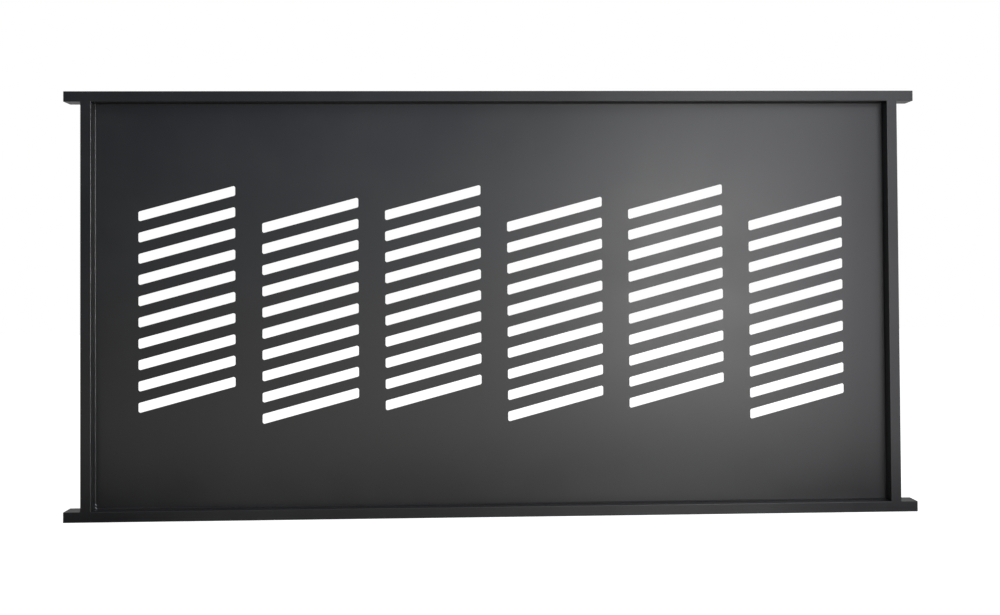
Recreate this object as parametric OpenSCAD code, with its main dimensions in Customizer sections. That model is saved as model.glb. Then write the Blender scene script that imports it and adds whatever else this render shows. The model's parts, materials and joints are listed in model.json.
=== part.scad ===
/* [Panel] */
// Overall width, from end to end of the rails
panel_w = 1800; // [1400:10:2400]
// Overall height, over both rails
panel_h = 900; // [700:10:1500]

/* [Frame tube] */
// Depth of the frame tube, front to back
tube_d = 40; // [30:1:60]
// Face width of the frame tube, as seen from the front
tube_face = 22; // [15:1:30]
// Wall of the frame tube
tube_wall = 2; // [1.5:0.1:3]
// Radius of the frame tube's long outer edges
tube_edge_r = 1.2; // [0.6:0.1:2.4]
// Length of each rail end that runs on past the stile, into the post bracket
rail_overhang = 35; // [20:1:80]

/* [Sheet] */
// Thickness of the slotted sheet
sheet_t = 2; // [1.5:0.1:4]
// Clearance between the sheet's edges and the frame
sheet_fit = 0.5; // [0.2:0.1:2]

/* [Slots] */
// Width of a slot, measured level
slot_w = 204; // [120:1:240]
// Clear gap of a slot, measured square to its long edges
slot_gap = 20.5; // [10:0.5:30]
// Angle at which the slots climb to the right
slot_angle = 15; // [0:1:25]
// Radius of a slot's corners
slot_corner_r = 4; // [1:0.5:5]
// Height from one slot of a column to the next
row_pitch = 45; // [40:0.5:80]
// Clear width of plain sheet between two columns
column_gap = 56.5; // [30:0.5:100]
// How much lower every second column sits
column_drop = 26; // [0:1:45]
// Least plain sheet to leave beside the outer columns
side_margin = 80; // [40:1:150]
// Least plain sheet to leave above and below the columns
end_margin = 160; // [60:1:200]

/* [Retaining angles] */
// Width of each leg of the angles that hold the sheet from behind
angle_leg = 10; // [6:0.5:14]
// Thickness of the angles
angle_t = 1.5; // [1:0.1:3]
// Distance from the rear edge of the angles to the rear face of the frame
angle_recess = 1; // [0:0.5:5]
// Clearance at the ends of the upright angles
angle_fit = 0.5; // [0.2:0.1:2]

/* [Beads and welds] */
// Leg of the sealing bead in the front corner between sheet and frame
bead_leg = 2.5; // [1:0.1:4]
// Leg of the fillet weld in the corner between stile and rail
weld_leg = 3; // [2:0.1:5]
// Thickness left at the thin edges of beads and welds
feather = 0.1; // [0.05:0.01:0.3]

/* [End caps] */
// Thickness of the cap plate that covers a rail's end
cap_t = 1.5; // [1:0.1:4]
// Length of the cap's plug inside the rail
plug_l = 12; // [6:1:30]
// Clearance between the plug and the inside of the rail
plug_fit = 0.2; // [0.1:0.05:0.5]

/* [Hidden] */
$fn = 48;
// How far a cutting shape runs past the face that it cuts
past = 1;
// How far a slot's corner rounds stand over its straight edges, so that the two cross cleanly
round_lap = 0.01;

// Origin: middle of the panel's underside. +X to the right, +Z up, front face towards -Y.
rail_l = panel_w - 2 * cap_t;
rail_mid = (panel_h - tube_face) / 2;
mid_z = panel_h / 2;
open_w = panel_w - 2 * rail_overhang - 2 * tube_face;
open_h = panel_h - 2 * tube_face;
stile_x = (open_w + tube_face) / 2;
sheet_back = tube_d / 2 - angle_recess - angle_leg;
sheet_front = sheet_back - sheet_t;
sheet_w = open_w - 2 * sheet_fit;
sheet_h = open_h - 2 * sheet_fit;

// The slots fill the sheet with whole columns and rows, and the field stays centred.
slot_rise = slot_w * tan(slot_angle);
slot_h = slot_gap / cos(slot_angle);
column_pitch = slot_w + column_gap;
columns = floor((open_w - 2 * side_margin + column_gap) / column_pitch);
rows = floor((open_h - 2 * end_margin - slot_rise - slot_h - column_drop) / row_pitch) + 1;

frame_colour = "#2a2c2f";
bead_colour = "#33353a";
cap_colour = "#18191b";

// Outline of a rectangle with rounded corners, centred
module rounded_rect(w, h, r) {
    square([w - 2 * r, h], center = true);
    square([w, h - 2 * r], center = true);
    for (sx = [-1, 1], sy = [-1, 1])
        translate([sx * (w / 2 - r), sy * (h / 2 - r)])
            circle(r);
}

// Whatever profile is given in the Y-Z plane, drawn out along X
module along_x(length) {
    rotate([90, 0, 90])
        linear_extrude(length, center = true)
            children();
}

// Fillet in the corner of two faces: legs along +X and +Y, hollow on its open side
module fillet_profile(leg) {
    difference() {
        square(leg);
        translate([leg, leg])
            circle(leg - feather);
    }
}

// A rail's outer shape, filled
module rail_bar(length) {
    along_x(length)
        rounded_rect(tube_d, tube_face, tube_edge_r);
}

module rail() {
    color(frame_colour)
        difference() {
            rail_bar(rail_l);
            cube([rail_l + 2 * past, tube_d - 2 * tube_wall, tube_face - 2 * tube_wall],
                 center = true);
        }
}

// A stile runs between the rails and is shaped to their rounded edges, so the joint is flush.
module stile() {
    stile_l = open_h + 2 * tube_edge_r;
    color(frame_colour)
        difference() {
            linear_extrude(stile_l, center = true)
                rounded_rect(tube_face, tube_d, tube_edge_r);
            cube([tube_face - 2 * tube_wall, tube_d - 2 * tube_wall, stile_l + 2 * past],
                 center = true);
            for (side = [-1, 1])
                translate([0, 0, side * rail_mid])
                    rail_bar(tube_face + 2 * past);
        }
}

// One slot: a slanted bar with upright ends and rounded corners, centred
module slot_outline() {
    half_w = slot_w / 2 - slot_corner_r;
    half_h = slot_h / 2 - slot_corner_r / cos(slot_angle);
    rise = half_w * tan(slot_angle);
    // Centres of the corner rounds, and the outward direction of the edge after each of them
    corners = [
        [-half_w, -rise - half_h], [half_w, rise - half_h],
        [half_w, rise + half_h], [-half_w, -rise + half_h]
    ];
    outward = [
        [sin(slot_angle), -cos(slot_angle)], [1, 0],
        [-sin(slot_angle), cos(slot_angle)], [-1, 0]
    ];
    polygon([
        for (i = [0 : 3], edge = [i + 3, i])
            corners[i] + slot_corner_r * outward[edge % 4]
    ]);
    for (corner = corners)
        translate(corner)
            circle(slot_corner_r + round_lap);
}

module slots() {
    for (column = [0 : columns - 1], row = [0 : rows - 1])
        translate([
            (column - (columns - 1) / 2) * column_pitch,
            ((rows - 1) / 2 - row) * row_pitch + (0.5 - column % 2) * column_drop
        ])
            slot_outline();
}

module slotted_sheet() {
    color(frame_colour)
        translate([0, sheet_back, mid_z])
            rotate([90, 0, 0])
                difference() {
                    linear_extrude(sheet_t)
                        square([sheet_w, sheet_h], center = true);
                    translate([0, 0, -past])
                        linear_extrude(sheet_t + 2 * past)
                            slots();
                }
}

// Angle: one leg lies on the sheet's back, the other on the frame (corner at the origin)
module angle_profile() {
    square([angle_leg, angle_t]);
    square([angle_t, angle_leg]);
}

// side: 1 along the top rail, -1 along the bottom rail
module level_angle(side) {
    color(frame_colour)
        translate([0, sheet_back, mid_z + side * open_h / 2])
            mirror([0, 0, (side + 1) / 2])
                along_x(open_w)
                    angle_profile();
}

// side: 1 along the right stile, -1 along the left stile
module upright_angle(side) {
    color(frame_colour)
        translate([side * open_w / 2, sheet_back, mid_z])
            mirror([(side + 1) / 2, 0, 0])
                linear_extrude(open_h - 2 * angle_leg - 2 * angle_fit, center = true)
                    angle_profile();
}

module level_bead(side) {
    color(bead_colour)
        translate([0, sheet_front, mid_z + side * open_h / 2])
            mirror([0, 0, (side + 1) / 2])
                mirror([0, 1, 0])
                    along_x(open_w - 2 * bead_leg)
                        fillet_profile(bead_leg);
}

module upright_bead(side) {
    color(bead_colour)
        translate([side * open_w / 2, sheet_front, mid_z])
            mirror([(side + 1) / 2, 0, 0])
                mirror([0, 1, 0])
                    linear_extrude(open_h, center = true)
                        fillet_profile(bead_leg);
}

// Fillet weld from front to back in the outer corner between a stile and a rail
module corner_weld(side, level) {
    color(frame_colour)
        translate([side * (stile_x + tube_face / 2), 0, mid_z + level * open_h / 2])
            mirror([(1 - side) / 2, 0, 0])
                mirror([0, 0, (level + 1) / 2])
                    rotate([90, 0, 0])
                        linear_extrude(tube_d - 2 * tube_edge_r, center = true)
                            fillet_profile(weld_leg);
}

// Cap with its plate flush with the tube's outside and its plug pushed into the tube
module end_cap(side, level) {
    plug_d = tube_d - 2 * tube_wall - 2 * plug_fit;
    plug_h = tube_face - 2 * tube_wall - 2 * plug_fit;
    color(cap_colour)
        translate([side * panel_w / 2, 0, mid_z + level * rail_mid])
            mirror([(1 - side) / 2, 0, 0]) {
                translate([-cap_t / 2, 0, 0])
                    rail_bar(cap_t);
                translate([-cap_t - plug_l, -plug_d / 2, -plug_h / 2])
                    cube([plug_l, plug_d, plug_h]);
            }
}

translate([0, 0, mid_z + rail_mid]) rail();  // top_rail
translate([0, 0, mid_z - rail_mid]) rail();  // bottom_rail
translate([-stile_x, 0, mid_z]) stile();  // left_stile
translate([stile_x, 0, mid_z]) stile();  // right_stile
slotted_sheet();
level_angle(1);  // top_retaining_angle
level_angle(-1);  // bottom_retaining_angle
upright_angle(-1);  // left_retaining_angle
upright_angle(1);  // right_retaining_angle
level_bead(1);  // top_sealing_bead
level_bead(-1);  // bottom_sealing_bead
upright_bead(-1);  // left_sealing_bead
upright_bead(1);  // right_sealing_bead
corner_weld(-1, 1);  // top_left_corner_weld
corner_weld(1, 1);  // top_right_corner_weld
corner_weld(-1, -1);  // bottom_left_corner_weld
corner_weld(1, -1);  // bottom_right_corner_weld
end_cap(-1, 1);  // top_left_end_cap
end_cap(1, 1);  // top_right_end_cap
end_cap(-1, -1);  // bottom_left_end_cap
end_cap(1, -1);  // bottom_right_end_cap
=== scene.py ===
# %% [markdown]
# # A slotted fence panel in black powder coat
# The panel is welded from aluminium tube, with a flat sheet set back inside it. Sixty slanted
# slots are cut through the sheet. Everything is coated together in one satin black powder coat.
#
# The construction is already modelled, so this lesson loads it as a fixed frame and works on its
# looks: small pieces that a fabricator adds by hand, the finishes, and a studio to show it in.
# All sizes are in metres, X runs to the right, Z up, and the front looks towards -Y.

# %% Load the fixed frame
import json
import math

import bmesh
import bpy
from mathutils import Matrix, Vector


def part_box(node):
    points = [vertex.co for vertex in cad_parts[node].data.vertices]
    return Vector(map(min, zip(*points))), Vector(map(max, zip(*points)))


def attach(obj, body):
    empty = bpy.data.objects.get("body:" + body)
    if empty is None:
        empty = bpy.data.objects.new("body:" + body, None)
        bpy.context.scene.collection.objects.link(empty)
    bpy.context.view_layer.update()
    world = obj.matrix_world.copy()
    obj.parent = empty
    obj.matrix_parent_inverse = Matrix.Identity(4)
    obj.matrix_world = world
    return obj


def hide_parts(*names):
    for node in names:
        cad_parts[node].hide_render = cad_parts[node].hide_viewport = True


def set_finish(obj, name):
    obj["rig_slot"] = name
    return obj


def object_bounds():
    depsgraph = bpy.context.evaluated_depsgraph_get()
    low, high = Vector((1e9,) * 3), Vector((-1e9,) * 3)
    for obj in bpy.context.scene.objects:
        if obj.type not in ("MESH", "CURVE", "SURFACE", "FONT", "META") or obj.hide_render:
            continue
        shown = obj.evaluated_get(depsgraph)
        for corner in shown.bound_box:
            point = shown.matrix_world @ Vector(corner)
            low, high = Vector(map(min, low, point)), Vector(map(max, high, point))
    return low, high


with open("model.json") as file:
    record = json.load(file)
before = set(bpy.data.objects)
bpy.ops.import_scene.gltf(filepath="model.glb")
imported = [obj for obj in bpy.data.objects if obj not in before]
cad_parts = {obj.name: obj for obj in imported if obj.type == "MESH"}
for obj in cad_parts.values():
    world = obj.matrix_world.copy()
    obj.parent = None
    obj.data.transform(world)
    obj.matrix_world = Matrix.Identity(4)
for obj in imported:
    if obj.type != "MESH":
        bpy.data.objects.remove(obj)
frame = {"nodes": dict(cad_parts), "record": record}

cad_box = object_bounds()
nodes = frame["nodes"]
print("nodes:", len(nodes), "box:", [[round(v, 4) for v in corner] for corner in cad_box])

# %% [markdown]
# ## Where things are
# Every place is read from the frame's own boxes, so the looks still fit if the panel changes.
# Left and right, bottom and top are written as -1 and 1, so that one loop can make all four
# corners, and points closer together than SAME_PLACE count as one.

# %% Units and the panel's middle
MM = 0.001
SAME_PLACE = 0.01 * MM
middle = (cad_box[0] + cad_box[1]) / 2
SIDES = {"left": -1, "right": 1}
LEVELS = {"bottom": -1, "top": 1}


def pick(box, axis, direction):
    """The low or high end of a box along an axis (0, 1, 2), whichever the direction points at."""
    return box[1][axis] if direction > 0 else box[0][axis]


print("middle of the panel:", [round(v, 4) for v in middle])

# %% [markdown]
# ## From a bmesh to a piece
# A bmesh is only a workbench. This helper writes it to a mesh whose object stays at the origin,
# unturned and unscaled, exactly like the frame's own nodes. Faces meet softly below an angle and
# stay crisp above it, which suits small metal and plastic parts with rounded edges.

# %% Helper: finish a piece
SOFT_EDGE = math.radians(35)


def finish_piece(name, work, slot, replaced=()):
    """Turns a bmesh into a piece that rides on the panel and takes its finish from a slot."""
    bmesh.ops.recalc_face_normals(work, faces=work.faces)
    mesh = bpy.data.meshes.new(name)
    work.to_mesh(mesh)
    work.free()
    mesh.shade_smooth()
    mesh.set_sharp_from_angle(angle=SOFT_EDGE)
    piece = bpy.data.objects.new(name, mesh)
    bpy.context.scene.collection.objects.link(piece)
    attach(piece, "root")
    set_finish(piece, slot)
    if replaced:
        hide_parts(*replaced)
    print(f"{name}: {len(mesh.polygons)} faces, {slot}")
    return piece


# %% [markdown]
# ## Extruding one face
# Extruding a single face leaves the old one behind. Where that face was alone, it now closes the
# far end of the new solid. Where it belonged to a solid, it would stay inside as a hidden wall, so
# this helper takes it away, unless it is told to keep it.

# %% Helper: extrude a face
def extrude_face(work, face, keep=False):
    """Extrudes a face without moving it yet, and returns the new one."""
    grown = bmesh.ops.extrude_face_region(work, geom=[face])["geom"]
    if not keep:
        bmesh.ops.delete(work, geom=[face], context="FACES_ONLY")
    return next(part for part in grown if isinstance(part, bmesh.types.BMFace))


# %% [markdown]
# ## Rippled corner welds
# A stile is joined to a rail by a hand-laid fillet weld in their outer corner. Such a weld is a
# row of overlapping puddles, each a few millimetres long, with crescent-shaped ripples. A smooth
# quarter-round would look moulded, and a bump pattern would vanish from the outline.
#
# So the section of the weld, bowed forwards in its middle, is extruded in short steps along the
# corner. Each step scales the section a little about the corner line: the size jumps up where
# a puddle starts and sinks until the next one.

# %% Corner weld: the section
WELD_SINK = 0.3 * MM
WELD_BULGE = 0.35
CRESCENT = 0.5 * MM
ARC_STEPS = 8


def weld_section(work, leg):
    """Face across a weld that starts at the origin and runs along +Y: legs along +X and +Z."""
    corner = work.verts.new((-WELD_SINK, 0, -WELD_SINK))
    toes = [work.verts.new((leg, 0, -WELD_SINK))]
    for step in range(ARC_STEPS + 1):
        share = step / ARC_STEPS
        rise = math.sin(math.pi * share)
        out = 1 + WELD_BULGE * rise
        point = Vector(((1 - share) * leg * out, CRESCENT * rise, share * leg * out))
        toes.append(work.verts.new(point))
    toes.append(work.verts.new((-WELD_SINK, 0, leg)))
    return work.faces.new([corner, *toes])


# %% Corner weld: the puddles
PUDDLE = 2.3 * MM
PUDDLE_STEPS = 5
PUDDLE_DROP = 0.16
WANDER = 0.05
WANDER_LENGTH = 9 * MM
END_TAPER = 1.5 * MM
END_SIZE = 0.45


def weld_size(along, length):
    """How large the section is at a place along the weld, as a share of its full size."""
    puddle_share = (along / PUDDLE) % 1
    ripple = 1 - PUDDLE_DROP * puddle_share ** 2
    wander = 1 - WANDER * (1 + math.sin(2 * math.pi * along / WANDER_LENGTH)) / 2
    to_end = min(along, length - along)
    taper = min(1, END_SIZE + (1 - END_SIZE) * to_end / END_TAPER)
    return ripple * wander * taper


def lay_weld(work, leg, length):
    """A rippled fillet weld from the origin along +Y."""
    end = weld_section(work, leg)
    steps = round(length / PUDDLE * PUDDLE_STEPS)
    advance = (length - CRESCENT) / steps
    size = weld_size(0, length)
    bmesh.ops.scale(work, vec=(size, 1, size), verts=end.verts)
    for step in range(1, steps + 1):
        end = extrude_face(work, end, keep=(step == 1))
        next_size = weld_size(step * advance, length)
        change = next_size / size
        bmesh.ops.translate(work, vec=(0, advance, 0), verts=end.verts)
        bmesh.ops.scale(work, vec=(change, 1, change), verts=end.verts)
        size = next_size


# %% Corner weld: all four corners
pieces = []
for level, up in LEVELS.items():
    for side, out in SIDES.items():
        node = f"{level}_{side}_corner_weld"
        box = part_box(node)
        leg = box[1].x - box[0].x
        length = box[1].y - box[0].y
        work = bmesh.new()
        lay_weld(work, leg / (1 + WELD_BULGE / 2), length)
        bmesh.ops.scale(work, vec=(out, 1, -up), verts=work.verts)
        corner = Vector((pick(box, 0, -out), box[0].y, pick(box, 2, up)))
        bmesh.ops.translate(work, vec=corner, verts=work.verts)
        pieces.append(finish_piece(f"{level}_{side}_weld_bead", work, "powder_coat", [node]))

# %% [markdown]
# ## Two tacks in a lower corner
# Before a frame is sealed, the sheet is held in place by short tacks. Two of them stand proud of
# the sealing bead in the lower left corner, like grains of rice laid at a slant, and their round
# backs catch the light.
#
# A grain is a slim profile spun about its own long axis. A squashed sphere would do for the
# outline, but the profile lets three faint rings of a quick weld show.

# %% Tack: one grain
TACK_L = 6.4 * MM
TACK_R = 1.5 * MM
TACK_POINTS = 18
TACK_SPIN = 16
TACK_RINGS = 3
TACK_RING_DEPTH = 0.09


def tack_grain(tilt, place):
    """A rice-shaped tack around its own middle, tilted in the plane of the sheet."""
    work = bmesh.new()
    chain = []
    for step in range(TACK_POINTS + 1):
        share = 2 * step / TACK_POINTS - 1
        ring = 1 + TACK_RING_DEPTH * math.cos(2 * math.pi * TACK_RINGS * share)
        radius = TACK_R * math.sqrt(1 - share ** 2) * ring / (1 + TACK_RING_DEPTH)
        chain.append(work.verts.new((share * TACK_L / 2, -radius, 0)))
    edges = [work.edges.new(pair) for pair in zip(chain, chain[1:])]
    bmesh.ops.spin(
        work, geom=[*chain, *edges], cent=(0, 0, 0), axis=(1, 0, 0),
        angle=2 * math.pi, steps=TACK_SPIN, use_merge=True)
    bmesh.ops.remove_doubles(work, verts=work.verts, dist=SAME_PLACE)
    bmesh.ops.rotate(work, cent=(0, 0, 0), matrix=Matrix.Rotation(tilt, 3, "Y"), verts=work.verts)
    bmesh.ops.translate(work, vec=place, verts=work.verts)
    return work


# %% Tack: both of them
TACK_TILT = math.radians(48)
TACK_IN = 1.7 * MM
TACK_PROUD = 0.5 * MM
TACK_HEIGHTS = (2.4 * MM, 9 * MM)

sheet_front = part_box("slotted_sheet")[0].y
left_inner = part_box("left_stile")[1].x
rail_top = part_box("bottom_rail")[1].z
tacks = []
for number, height in enumerate(TACK_HEIGHTS, start=1):
    place = Vector((left_inner + TACK_IN, sheet_front - TACK_PROUD, rail_top + height))
    tacks.append(finish_piece(f"corner_tack_{number}", tack_grain(TACK_TILT, place), "powder_coat"))
pieces += tacks

# %% [markdown]
# ## Moulded end caps
# Each rail is an open tube, closed by a plastic cap that is tapped in with a mallet. Its plate
# follows the tube's outline, with a softly rounded rim outside and a fine chamfer where it meets
# the metal, so that a thin line shows between the two. A hollow plug holds it inside the tube.
#
# One cube is enough to start from: its long edges get the tube's radius, the rims are beveled,
# and the inner face is inset and extruded to become the plug.

# %% End cap: the plate
TUBE_EDGE = 1.2 * MM
TUBE_EDGE_STEPS = 5
RIM_ROUND = 0.6 * MM
RIM_STEPS = 4
JOINT_CHAMFER = 0.2 * MM


def bevel_edges(work, edges, size, segments):
    """Bevel with the settings that the edit mode would use."""
    bmesh.ops.bevel(
        work, geom=edges, offset=size, segments=segments, affect="EDGES",
        offset_type="OFFSET", profile=0.5, material=-1, clamp_overlap=True)


def faces_at(work, axis, value):
    """All flat faces whose corners share one coordinate."""
    return [f for f in work.faces if all(abs(v.co[axis] - value) < SAME_PLACE for v in f.verts)]


def cap_plate(work, thickness, depth, height):
    """The plate: outer face at x = 0, inner face at x = -thickness."""
    block = bmesh.ops.create_cube(work, size=1)["verts"]
    bmesh.ops.translate(work, vec=(-0.5, 0, 0), verts=block)
    bmesh.ops.scale(work, vec=(thickness, depth, height), verts=block)
    long_edges = [e for e in work.edges if abs(e.verts[0].co.x - e.verts[1].co.x) > thickness / 2]
    bevel_edges(work, long_edges, TUBE_EDGE, TUBE_EDGE_STEPS)
    outer_rim = list(faces_at(work, 0, 0)[0].edges)
    bevel_edges(work, outer_rim, RIM_ROUND, RIM_STEPS)
    inner_rim = list(faces_at(work, 0, -thickness)[0].edges)
    bevel_edges(work, inner_rim, JOINT_CHAMFER, segments=1)


# %% End cap: the plug
TUBE_WALL = 2 * MM
PLUG_FIT = 0.2 * MM
PLUG_WALL = 1.4 * MM
PLUG_TAPER = 0.97


def shrink_face(work, face, margin):
    """A smaller copy of a face around the X axis, joined to the old outline by a flat border."""
    inner = extrude_face(work, face)
    halves = [max(v.co[axis] for v in inner.verts) for axis in (1, 2)]
    shares = [1 - margin / half for half in halves]
    bmesh.ops.scale(work, vec=(1, *shares), verts=inner.verts)
    return inner


def push_face(work, face, length, taper=1):
    """Extrudes a face along X by a length, narrowing it by a factor on the way."""
    end = extrude_face(work, face)
    bmesh.ops.translate(work, vec=(length, 0, 0), verts=end.verts)
    bmesh.ops.scale(work, vec=(1, taper, taper), verts=end.verts)
    return end


def end_cap(thickness, plug_length, depth, height):
    """A whole cap that closes the end of a rail on the +X side."""
    work = bmesh.new()
    cap_plate(work, thickness, depth, height)
    inner = faces_at(work, 0, -thickness)[0]
    root = shrink_face(work, inner, TUBE_WALL + PLUG_FIT - JOINT_CHAMFER)
    tip = push_face(work, root, -plug_length, PLUG_TAPER)
    mouth = shrink_face(work, tip, PLUG_WALL)
    push_face(work, mouth, plug_length - PLUG_WALL)
    return work


# %% End cap: all four rail ends
for level, up in LEVELS.items():
    rail_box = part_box(f"{level}_rail")
    for side, out in SIDES.items():
        node = f"{level}_{side}_end_cap"
        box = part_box(node)
        thickness = abs(pick(box, 0, out) - pick(rail_box, 0, out))
        plug_length = box[1].x - box[0].x - thickness
        work = end_cap(thickness, plug_length, box[1].y - box[0].y, box[1].z - box[0].z)
        bmesh.ops.scale(work, vec=(out, 1, 1), verts=work.verts)
        place = Vector((pick(box, 0, out), middle.y, (box[0].z + box[1].z) / 2))
        bmesh.ops.translate(work, vec=place, verts=work.verts)
        pieces.append(finish_piece(f"{level}_{side}_cap", work, "cap_plastic", [node]))

# %% [markdown]
# ## Blind rivets
# Behind the sheet, slim angles hold it against the front. Their outer legs are riveted to the
# tube with domed blind rivets about every quarter of a metre. The mandrel breaks off inside and
# leaves a small round pit in the middle of each head.
#
# A rivet head is a turned shape, so half its section is drawn once and spun. All heads of one
# angle are gathered in one mesh, because they are only ever seen together.

# %% Rivet: one head
HEAD_R = 3.25 * MM
HEAD_H = 1.1 * MM
HEAD_RIM = 0.25 * MM
PIT_R = 0.9 * MM
PIT_DEPTH = 0.5 * MM
DOME_STEPS = 6
HEAD_SPIN = 20


def add_rivet(work, place, turn):
    """One head whose underside is at the place given; turn takes +Z to the way it looks."""
    section = [(0, HEAD_H - PIT_DEPTH), (PIT_R, HEAD_H - PIT_DEPTH)]
    for step in range(DOME_STEPS + 1):
        angle = math.pi / 2 * step / DOME_STEPS
        radius = PIT_R + (HEAD_R - PIT_R) * math.sin(angle)
        section.append((radius, HEAD_RIM + (HEAD_H - HEAD_RIM) * math.cos(angle)))
    section.append((HEAD_R, 0))
    section.append((0, 0))
    chain = [work.verts.new((radius, 0, height)) for radius, height in section]
    edges = [work.edges.new(pair) for pair in zip(chain, chain[1:])]
    before = set(work.verts) - set(chain)
    bmesh.ops.spin(
        work, geom=[*chain, *edges], cent=(0, 0, 0), axis=(0, 0, 1),
        angle=2 * math.pi, steps=HEAD_SPIN, use_merge=True)
    head = [v for v in work.verts if v not in before]
    bmesh.ops.rotate(work, cent=(0, 0, 0), matrix=turn, verts=head)
    bmesh.ops.translate(work, vec=place, verts=head)


# %% Rivet: rows along the four angles
ANGLE_WALL = 1.5 * MM
RIVET_EDGE = 60 * MM
RIVET_PITCH = 260 * MM


def rivet_row(name, inward, run_axis):
    """Rivets along one retaining angle. inward is the direction that its outer leg looks in."""
    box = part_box(f"{name}_retaining_angle")
    across = 2 - run_axis
    direction = inward[across]
    face = pick(box, across, -direction) + direction * ANGLE_WALL
    start = box[0][run_axis] + RIVET_EDGE
    run = box[1][run_axis] - box[0][run_axis] - 2 * RIVET_EDGE
    gaps = round(run / RIVET_PITCH)
    turn = Vector((0, 0, 1)).rotation_difference(Vector(inward)).to_matrix()
    work = bmesh.new()
    for number in range(gaps + 1):
        place = Vector((0, (box[0].y + ANGLE_WALL + box[1].y) / 2, 0))
        place[across] = face
        place[run_axis] = start + run * number / gaps
        add_rivet(work, place, turn)
    bmesh.ops.remove_doubles(work, verts=work.verts, dist=SAME_PLACE)
    print(name, "angle:", gaps + 1, "rivets")
    return finish_piece(f"{name}_rivets", work, "powder_coat")


for side, out in SIDES.items():
    pieces.append(rivet_row(side, (-out, 0, 0), 2))
for level, up in LEVELS.items():
    pieces.append(rivet_row(level, (0, 0, -up), 0))

# %% [markdown]
# ## Writing shader maths as Python
# A finish is mostly arithmetic: more roughness where there is dust, less colour where there is
# none. One small class wraps a node's output, so that such sums read like sums. Every other node
# comes from its one method, node(), which takes the settings first and then the inputs.
#
# A Mix node has one set of sockets for numbers, one for vectors and one for colours, and all three
# bear the same names. So its colour sockets are picked by their numbers, which get names here.

# %% Helper: signals in a node tree
class Signal:
    """An output of a node. Adding, subtracting or multiplying it makes the Math nodes."""

    def __init__(self, tree, socket=None):
        self.tree = tree
        self.socket = socket

    def node(self, kind, settings=None, inputs=None, output=0):
        """Adds a node, makes its settings, sets or links its inputs and returns one output."""
        made = self.tree.nodes.new(kind)
        for name, value in (settings or {}).items():
            setattr(made, name, value)
        for name, value in (inputs or {}).items():
            if isinstance(value, Signal):
                self.tree.links.new(value.socket, made.inputs[name])
            else:
                made.inputs[name].default_value = value
        return Signal(self.tree, made.outputs[output])

    def maths(self, operation, first, second):
        return self.node("ShaderNodeMath", {"operation": operation}, {0: first, 1: second})

    def __add__(self, other):
        return self.maths("ADD", self, other)

    def __sub__(self, other):
        return self.maths("SUBTRACT", self, other)

    def __rsub__(self, other):
        return self.maths("SUBTRACT", other, self)

    def __mul__(self, other):
        return self.maths("MULTIPLY", self, other)

    __radd__ = __add__
    __rmul__ = __mul__

    def between(self, low, high):
        """0 below low and 1 above high, with a smooth step in between."""
        return self.node(
            "ShaderNodeMapRange", {"interpolation_type": "SMOOTHSTEP"},
            {"Value": self, "From Min": low, "From Max": high})

    def along(self, axis):
        """One coordinate of a vector: 0 for X, 1 for Y and 2 for Z."""
        return self.node("ShaderNodeSeparateXYZ", inputs={0: self}, output=axis)


# %% Helper: shared patterns
def start_finish(name):
    """A new material with nothing but a shader in it: the material, the shader, the place."""
    finish = bpy.data.materials.new(name)
    finish.use_nodes = True
    tree = finish.node_tree
    shader = tree.nodes["Principled BSDF"]
    place = Signal(tree).node("ShaderNodeTexCoord", output="Object")
    return finish, shader, place


def grain(place, scale, detail=2.0, roughness=0.5):
    """Noise between 0 and 1 around one half, with this many lumps in a metre."""
    return place.node(
        "ShaderNodeTexNoise", {"noise_dimensions": "3D"},
        {"Vector": place, "Scale": scale, "Detail": detail, "Roughness": roughness})


def feed(shader, **signals):
    """Links signals to the shader's inputs; an underscore in a name stands for a space."""
    for name, signal in signals.items():
        signal.tree.links.new(signal.socket, shader.inputs[name.replace("_", " ")])


def lighter(colour, factor):
    """A plain colour times a factor."""
    return tuple(channel * factor for channel in colour)


MIX_FACTOR, MIX_FIRST, MIX_SECOND, MIX_RESULT = 0, 6, 7, 2


def blend_colours(first, second, mask):
    """From the first colour to the second as the mask goes from 0 to 1."""
    ends = [end if isinstance(end, Signal) else (*end, 1) for end in (first, second)]
    inputs = {MIX_FACTOR: mask, MIX_FIRST: ends[0], MIX_SECOND: ends[1]}
    return mask.node("ShaderNodeMix", {"data_type": "RGBA"}, inputs, output=MIX_RESULT)


def relief(height):
    """The normal of a surface that rises by this many millimetres."""
    return height.node("ShaderNodeBump", inputs={"Height": height, "Distance": MM, "Strength": 1})


def facing_up(place):
    """1 where a surface looks straight up, 0 where it is upright and -1 where it looks down."""
    return place.node("ShaderNodeNewGeometry", output="Normal").along(2)


record_colours = {m["slot"]: tuple(m["base_color"]) for m in frame["record"]["materials"]}
print("colours in the record:", record_colours)

# %% [markdown]
# ## Satin black powder coat
# Powder is sprayed on dry and melts into a tough skin. It is nearly black, and what the eye sees
# is mostly its soft shine. Three things keep it from looking like flat paint: a very fine orange
# peel, a slow unevenness in the gloss where the skin is thicker, and thin dust on faces that look
# up. The big sheet also isn't perfectly flat, so its reflections wander a little.
#
# The finish is a function, because it is needed three times. The thin sheet gets waves, which the
# stiff tubes don't have. Powder also builds up more evenly on the big sheet than round the edges
# of the tubes, so the sheet is a little shinier: its index of refraction is higher. The tacks get
# a much paler colour, a painted highlight that stands in for the glint on their small round backs.

# %% Finish: powder coat
COAT_INDEX = 1.56
COAT_ROUGHNESS = 0.33
CLOUD_ROUGHNESS = 0.05
CLOUD_SCALE = 5
CLOUD_TONES = (0.9, 1.15)
PEEL_SCALE = 520
PEEL_HEIGHT = 0.006
WAVE_SCALE = 2.4
DUST = (0.11, 0.10, 0.09)
DUST_AMOUNT = 0.06
DUST_LEAST = 0.4
DUST_ROUGHNESS = 0.8
SPECK_SCALE = 90


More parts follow.
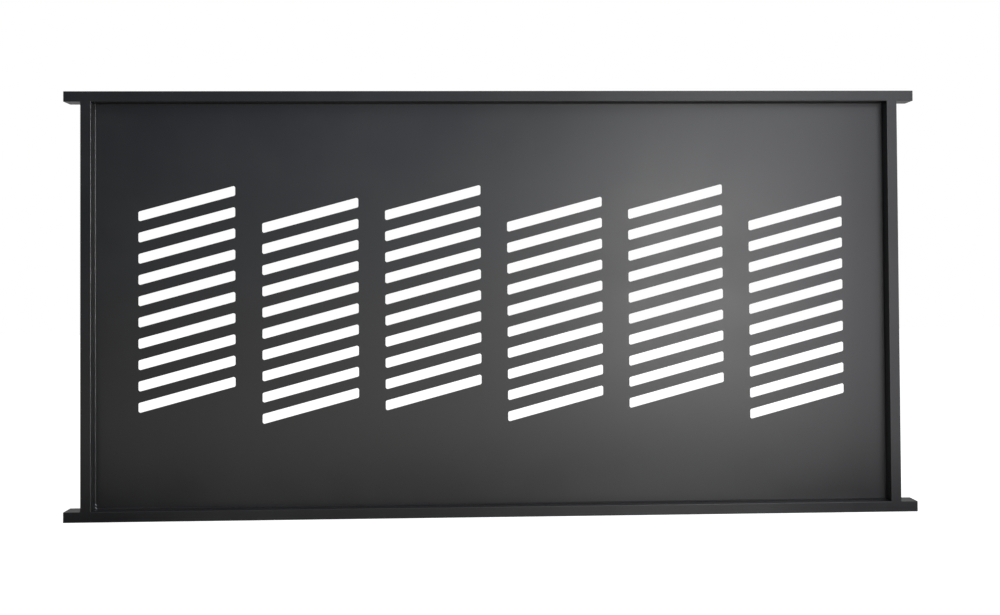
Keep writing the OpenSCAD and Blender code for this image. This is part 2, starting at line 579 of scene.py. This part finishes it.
def powder_coat(name, index=COAT_INDEX, wave_height=0, paleness=1):
    """Satin powder coat on metal that bows in and out by wave_height millimetres."""
    finish, shader, place = start_finish(name)
    colour = lighter(record_colours["powder_coat"], paleness)
    clouds = grain(place, CLOUD_SCALE, 4, 0.6).between(0.35, 0.7)
    skin = blend_colours(*[lighter(colour, tone) for tone in CLOUD_TONES], clouds)
    specks = grain(place, SPECK_SCALE, 3, 0.7).between(0.3, 0.8)
    settled = facing_up(place).between(0.8, 0.98)
    dust = settled * (DUST_LEAST + (1 - DUST_LEAST) * specks) * DUST_AMOUNT
    height = grain(place, PEEL_SCALE) * PEEL_HEIGHT
    if wave_height:
        height = height + grain(place, WAVE_SCALE, 1) * wave_height
    shader.inputs["IOR"].default_value = index
    feed(
        shader, Base_Color=blend_colours(skin, DUST, dust), Normal=relief(height),
        Roughness=COAT_ROUGHNESS + clouds * CLOUD_ROUGHNESS + dust * DUST_ROUGHNESS)
    return finish


# %% [markdown]
# ## Sealant in the inner corners
# The joint between the sheet and the frame is filled with a thin bead of dark sealant, pulled
# smooth with a finger. It is about as dark as the coat, and the pull leaves faint lengthwise
# unevenness, so its noise is gentle and its shine uneven. Dust settles on the lower beads, and
# the upright ones end dull where the finger was lifted, just above the bottom rail.

# %% Finish: sealant
SEALANT_INDEX = 1.36
SEALANT_ROUGHNESS = 0.36
PULL_SCALE = 35
PULL_HEIGHT = 0.08
PULL_ROUGHNESS = 0.12
PULL_TONES = (0.8, 1.2)
PORE_SCALE = 300
PORE_HEIGHT = 0.01
DULL_ROUGHNESS = 0.4
DULL_BELOW = 0.03
SHINY_FROM = 0.07


def sealant():
    """A pulled bead that is shiny, apart from dusty slopes and the dull lower ends."""
    finish, shader, place = start_finish("pulled_sealant")
    colour = record_colours["sealant"]
    pull = grain(place, PULL_SCALE, 3, 0.6)
    skin = blend_colours(*[lighter(colour, tone) for tone in PULL_TONES], pull.between(0.3, 0.7))
    dusty = facing_up(place).between(0.1, 0.4)
    dull = (dusty + 1 - place.along(2).between(DULL_BELOW, SHINY_FROM)).between(0, 1)
    height = pull * PULL_HEIGHT + grain(place, PORE_SCALE) * PORE_HEIGHT
    shader.inputs["IOR"].default_value = SEALANT_INDEX
    feed(
        shader, Base_Color=skin, Normal=relief(height),
        Roughness=SEALANT_ROUGHNESS + pull * PULL_ROUGHNESS + dull * DULL_ROUGHNESS)
    return finish


# %% [markdown]
# ## Moulded cap plastic
# The caps come from a spark-eroded mould, which leaves an even, very fine grain. The plastic is
# about as black as the coat, but duller, and slightly polished where a mallet and hands met it.

# %% Finish: cap plastic
CAP_ROUGHNESS = 0.52
SPARK_SCALE = 1400
SPARK_HEIGHT = 0.012
HANDLED_SCALE = 40
HANDLED_POLISH = 0.1
HANDLED_TONE = 1.3


def cap_plastic():
    """Even, finely grained plastic with polished patches."""
    finish, shader, place = start_finish("moulded_cap_plastic")
    colour = record_colours["cap_plastic"]
    handled = grain(place, HANDLED_SCALE, 3, 0.6).between(0.4, 0.75)
    feed(
        shader, Base_Color=blend_colours(colour, lighter(colour, HANDLED_TONE), handled),
        Normal=relief(grain(place, SPARK_SCALE, 1) * SPARK_HEIGHT),
        Roughness=CAP_ROUGHNESS - HANDLED_POLISH * handled)
    return finish


# %% [markdown]
# ## Dress the nodes and the new pieces
# The frame's nodes came in with plain materials named after their slots. Each one is swapped for
# the finish of that slot. The sheet gets its own coat, and the tacks one whose pale colour is a
# painted highlight.

# %% Give every node and piece its finish
TUBE_INDEX = 1.49
SHEET_WAVE = 0.9
# The tacks' paler colour is a painted highlight: it stands in for the glint on their round backs.
TACK_HIGHLIGHT_PALENESS = 20
finishes = {
    "powder_coat": powder_coat("satin_powder_coat", index=TUBE_INDEX),
    "sealant": sealant(),
    "cap_plastic": cap_plastic(),
}
sheet_coat = powder_coat("satin_powder_coat_on_sheet", wave_height=SHEET_WAVE)
tack_highlight_coat = powder_coat("tacks_coat_painted_highlight", paleness=TACK_HIGHLIGHT_PALENESS)
for name, node in nodes.items():
    slot = node.data.materials[0].name.split(".")[0]
    node.data.materials[0] = sheet_coat if name == "slotted_sheet" else finishes[slot]
for piece in pieces:
    piece.data.materials.append(tack_highlight_coat if piece in tacks else finishes[piece["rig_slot"]])
print("finishes:", sorted(material.name for material in bpy.data.materials if material.users))

# %% [markdown]
# ## The floor and the white surround
# The panel stands on a pale floor in a white room without corners. A camera or a mirror-like
# surface must see pure white, while the light that falls on things stays at a plain level. The
# Light Path node tells the two kinds of ray apart. The floor glows for the rays that look at it,
# but not up to full white, so the panel's shadow stays on it.

# %% Helper: rays that look
def looking(tree):
    """1 for rays from the camera, from gloss or through glass, and 0 for light that bounces."""
    camera = Signal(tree).node("ShaderNodeLightPath", output="Is Camera Ray")
    glossy = Signal(tree).node("ShaderNodeLightPath", output="Is Glossy Ray")
    through = Signal(tree).node("ShaderNodeLightPath", output="Is Transmission Ray")
    total = camera + glossy + through
    return total.between(0, 1)


# %% White surround
ROOM_LIGHT = 0.45
world = bpy.data.worlds.new("white_surround")
bpy.context.scene.world = world
world.use_nodes = True
background = world.node_tree.nodes["Background"]
background.inputs["Color"].default_value = (1, 1, 1, 1)
strength = ROOM_LIGHT + looking(world.node_tree) * (1 - ROOM_LIGHT)
world.node_tree.links.new(strength.socket, background.inputs["Strength"])

# %% Pale floor
FLOOR_SIDE = 14
FLOOR_WHITE = 0.6
FLOOR_UNEVEN = 0.98
FLOOR_SCALE = 1.5
FLOOR_GLOW = 0.85


def stage_mesh(name, work, material):
    """An object that belongs to the studio and not to the panel."""
    mesh = bpy.data.meshes.new(name)
    work.to_mesh(mesh)
    work.free()
    mesh.materials.append(material)
    staged = bpy.data.objects.new(name, mesh)
    bpy.context.scene.collection.objects.link(staged)
    print(f"{name}: {[round(side, 2) for side in staged.dimensions]} m")
    return staged


def floor_finish():
    """Matt, nearly white, and just uneven enough not to look like a flat fill."""
    finish, shader, place = start_finish("pale_floor")
    tone = grain(place, FLOOR_SCALE).between(0.2, 0.8)
    pale = (FLOOR_WHITE, FLOOR_WHITE, FLOOR_WHITE)
    feed(shader, Base_Color=blend_colours(pale, lighter(pale, FLOOR_UNEVEN), tone))
    shader.inputs["Roughness"].default_value = 1
    shader.inputs["Specular IOR Level"].default_value = 0
    shader.inputs["Emission Color"].default_value = (1, 1, 1, 1)
    glow = looking(finish.node_tree) * FLOOR_GLOW
    feed(shader, Emission_Strength=glow)
    return finish


work = bmesh.new()
bmesh.ops.create_grid(work, x_segments=1, y_segments=1, size=FLOOR_SIDE / 2)
stage_mesh("pale_floor", work, floor_finish())

# %% [markdown]
# ## Cards for the reflections
# A black glossy thing in a white room looks washed out, because its front mirrors the white. In a
# studio, dark cards stand where the mirror image would fall, and a soft box shines from one side,
# so that the front runs from deep black on the left to a broad sheen on the right.
#
# The graded card here starts on the floor in front of the panel, bends up behind the camera and
# ends above it. It is seen in reflections only: it casts no shadow, and takes no light away.
#
# Its tone is a sum of slow steps. It brightens to the right and fades again far out, near the
# panel and high up. Close to the panel it has a glow of its own, which only the bottom rail and
# the foot of the sheet mirror. Its tint goes from warm low on the left to cool at the top, with a
# touch of violet far out on the right, as a room lit by a lamp and a window would give it.

# %% Graded card
CARD_W = 8.0
CARD_FRONT = -0.021
CARD_BACK = -3.4
CARD_H = 3.2
CARD_LIFT = 0.5 * MM
CARD_BEND = 0.3
BEND_STEPS = 8


def graded_card():
    """A sheet of card that lies on the floor and bends up into a wall."""
    work = bmesh.new()
    start = [work.verts.new((out * CARD_W / 2, CARD_FRONT, CARD_LIFT)) for out in (-1, 1)]
    edge = work.edges.new(start)
    for move in ((0, CARD_BACK - CARD_FRONT, 0), (0, 0, CARD_H)):
        grown = bmesh.ops.extrude_edge_only(work, edges=[edge])["geom"]
        edge = next(part for part in grown if isinstance(part, bmesh.types.BMEdge))
        bmesh.ops.translate(work, vec=move, verts=edge.verts)
    fold = [e for e in work.edges if len(e.link_faces) == 2]
    bevel_edges(work, fold, CARD_BEND, BEND_STEPS)
    return work


# %% Graded card: its tone
CARD_DEEP = 0.045
CARD_LEFT = 0.08
CARD_RIGHT = 1.45
GRADE = (-2.9, 1.0)
SIDE_FADE = (2.05, 2.7)
SIDE_FADE_SHARE = 0.6
NEAR_FADE = (-1.15, CARD_FRONT)
HIGH_FADE = (0.5, 2.44)
CLOSE_DEPTH = (-0.4, -0.15)
CLOSE_END = (0.5, 0.8)
CLOSE_GLOW = 0.24
CLOSE_START = (-0.78, -0.6)
CLOSE_PEAK = 0.48
CLOSE_RISE = (-0.3, 0.5)


def start_glow(name):
    """A new material without a shader: the material and the place."""
    finish = bpy.data.materials.new(name)
    finish.use_nodes = True
    tree = finish.node_tree
    tree.nodes.clear()
    return finish, Signal(tree).node("ShaderNodeTexCoord", output="Object")


def shine(finish, strength, tint=(1, 1, 1, 1)):
    """Lets a material that has no shader shine with this strength."""
    glow = strength.node("ShaderNodeEmission", inputs={"Strength": strength, "Color": tint})
    output = finish.node_tree.nodes.new("ShaderNodeOutputMaterial")
    finish.node_tree.links.new(glow.socket, output.inputs["Surface"])
    return finish


def card_tone(across, depth, height):
    """How bright the card is at a place."""
    fade = (1 - depth.between(*NEAR_FADE)) * (1 - height.between(*HIGH_FADE))
    lit = fade * (1 - SIDE_FADE_SHARE * across.between(*SIDE_FADE))
    graded = CARD_LEFT + across.between(*GRADE) * (CARD_RIGHT - CARD_LEFT)
    close = depth.between(*CLOSE_DEPTH) * (1 - across.between(*CLOSE_END))
    close_glow = (
        CLOSE_GLOW * across.between(*CLOSE_START) + CLOSE_PEAK * across.between(*CLOSE_RISE))
    return CARD_DEEP + lit * graded + close * close_glow


# %% Graded card: its tint
COOL = (0.75, 0.955, 1.28)
COOL_RISE = (0.3, 1.6)
COOL_LEFT = (-0.6, 0.8)
COOL_RIGHT_SHARE = 0.15
WARM = (1.035, 1.005, 0.945)
WARM_LOW = (0.1, 0.9)
WARM_LEFT = (-0.3, 0.9)
VIOLET = (1.0, 0.955, 1.075)
VIOLET_RIGHT = (1.2, 2.1)


def card_tint(across, height):
    """The colour of the card's light at a place."""
    low_left = (1 - height.between(*WARM_LOW)) * (1 - across.between(*WARM_LEFT))
    cool = height.between(*COOL_RISE) * (1 - (1 - COOL_RIGHT_SHARE) * across.between(*COOL_LEFT))
    tint = blend_colours((1, 1, 1), VIOLET, across.between(*VIOLET_RIGHT))
    tint = blend_colours(tint, WARM, low_left)
    return blend_colours(tint, COOL, cool)


# %% Graded card: set it up
def card_finish():
    """The glow of the graded card."""
    finish, place = start_glow("graded_card")
    across, depth, height = [place.along(axis) for axis in (0, 1, 2)]
    return shine(finish, card_tone(across, depth, height), card_tint(across, height))


def reflected_only(card):
    """A card that is seen in glossy surfaces and nowhere else."""
    for kind in ("camera", "diffuse", "transmission", "volume_scatter", "shadow"):
        setattr(card, f"visible_{kind}", False)


reflected_only(stage_mesh("graded_card", graded_card(), card_finish()))

# %% [markdown]
# ## Four standing cards
# A black wing on the far left keeps the left stile dark. On the far right stands a tall bright
# strip, almost in the plane of the panel. The flat faces look past it, and only the rounded edge
# of the left stile and the bead beside it send it to the lens, as two fine lines of light. A slim
# black flag right beside the panel hides the strip from the panel's right side, which would mirror
# it squarely and look silver. A grey card behind the panel calms the tops and undersides of the
# rails, which the lens meets at such a low angle that they mirror whatever lies beyond them.

# %% Standing cards
WING_FROM = (-2.6, 0.3)
WING_TO = (-2.6, CARD_BACK)
STRIP_FROM = (4.6, 0.04)
STRIP_TO = (4.2, -1.54)
STRIP_H = 2.0
STRIP_GLOW = 34.0
FOOT_H = 0.6
BACK_FROM = (-CARD_W / 2, 1.5)
BACK_TO = (CARD_W / 2, 1.5)
BACK_GLOW = 0.45
FLAG_FROM = (1.0, 0.05)
FLAG_TO = (1.0, -0.09)
FLAG_H = 1.0


def upright(start, end, height):
    """An upright rectangle over a line on the floor."""
    work = bmesh.new()
    feet = [work.verts.new((*foot, CARD_LIFT)) for foot in (start, end)]
    edge = work.edges.new(feet)
    grown = bmesh.ops.extrude_edge_only(work, edges=[edge])["geom"]
    top = [part for part in grown if isinstance(part, bmesh.types.BMVert)]
    bmesh.ops.translate(work, vec=(0, 0, height), verts=top)
    return work


def standing_card(name, start, end, height, brightness, foot=1):
    """A card that shines evenly, apart from a foot that is this many times as bright."""
    finish, place = start_glow(name)
    shine(finish, brightness * (foot - (foot - 1) * place.along(2).between(0, FOOT_H)))
    reflected_only(stage_mesh(name, upright(start, end, height), finish))


standing_card("dark_wing", WING_FROM, WING_TO, CARD_H, CARD_DEEP)
standing_card("bright_strip", STRIP_FROM, STRIP_TO, STRIP_H, STRIP_GLOW, foot=2)
standing_card("back_card", BACK_FROM, BACK_TO, CARD_H, BACK_GLOW)
standing_card("side_flag", FLAG_FROM, FLAG_TO, FLAG_H, CARD_DEEP)

# %% [markdown]
# ## Lamps
# The key is a large soft box high on the right, which lights the faces evenly and lays a soft
# shadow under the panel. A smaller box stands low behind it, where the right half of the front
# mirrors it, and draws the sheen. A flat lamp looks as bright as its power divided by pi and by
# its area, so each is set by how bright its face looks.

# %% Two soft boxes
def soft_lamp(name, place, aim, width, height, brightness, colour):
    """A flat rectangular lamp whose face looks this bright, where 1 is white."""
    lamp = bpy.data.lights.new(name, "AREA")
    lamp.shape = "RECTANGLE"
    lamp.size = width
    lamp.size_y = height
    lamp.energy = brightness * math.pi * width * height
    lamp.color = colour
    stand = bpy.data.objects.new(name, lamp)
    stand.location = place
    stand.rotation_mode = "QUATERNION"
    stand.rotation_quaternion = (Vector(aim) - Vector(place)).to_track_quat("-Z", "Y")
    bpy.context.scene.collection.objects.link(stand)
    print(f"{name}: {width} x {height} m, {lamp.energy:.1f} W")


soft_lamp(
    "key_soft_box", place=(1.24, -1.88, 2.43), aim=(0, 0, 0.45),
    width=1.1, height=2.4, brightness=4.0, colour=(0.95, 0.99, 1.06))
soft_lamp(
    "side_soft_box", place=(1.1, -3.0, 0.57), aim=(1.1, 0, 0.57),
    width=0.88, height=1.1, brightness=5.9, colour=(1.01, 1.0, 0.98))

# %% [markdown]
# ## Camera
# The camera stands a little left of the middle, about two and a quarter metres away and slightly
# above half the panel's height, so the reveal on the right opens up more than the one on the left.
# A small downward shift keeps the uprights parallel while the panel sits high in the frame.

# %% Camera
CAMERA_PLACE = Vector((-0.058, -2.2208, 0.512))
CAMERA_AIM = Vector((0.0119, -0.02, 0.5472))
CAMERA_ROLL = math.radians(-0.363)
SENSOR_WIDTH = 36
FOCAL_LENGTH = 37.512
SHIFT_UP = -0.0502

lens = bpy.data.cameras.new("camera")
lens.sensor_width = SENSOR_WIDTH
lens.lens = FOCAL_LENGTH
lens.shift_y = SHIFT_UP
camera = bpy.data.objects.new("camera", lens)
camera.location = CAMERA_PLACE
camera.rotation_mode = "QUATERNION"
look = (CAMERA_AIM - CAMERA_PLACE).to_track_quat("-Z", "Y")
camera.rotation_quaternion = look @ Matrix.Rotation(CAMERA_ROLL, 3, "Z").to_quaternion()
bpy.context.scene.collection.objects.link(camera)
bpy.context.scene.camera = camera
bpy.context.scene.view_settings.view_transform = "Standard"
print("camera:", [round(v, 3) for v in camera.location], f"lens {lens.lens:.1f} mm")
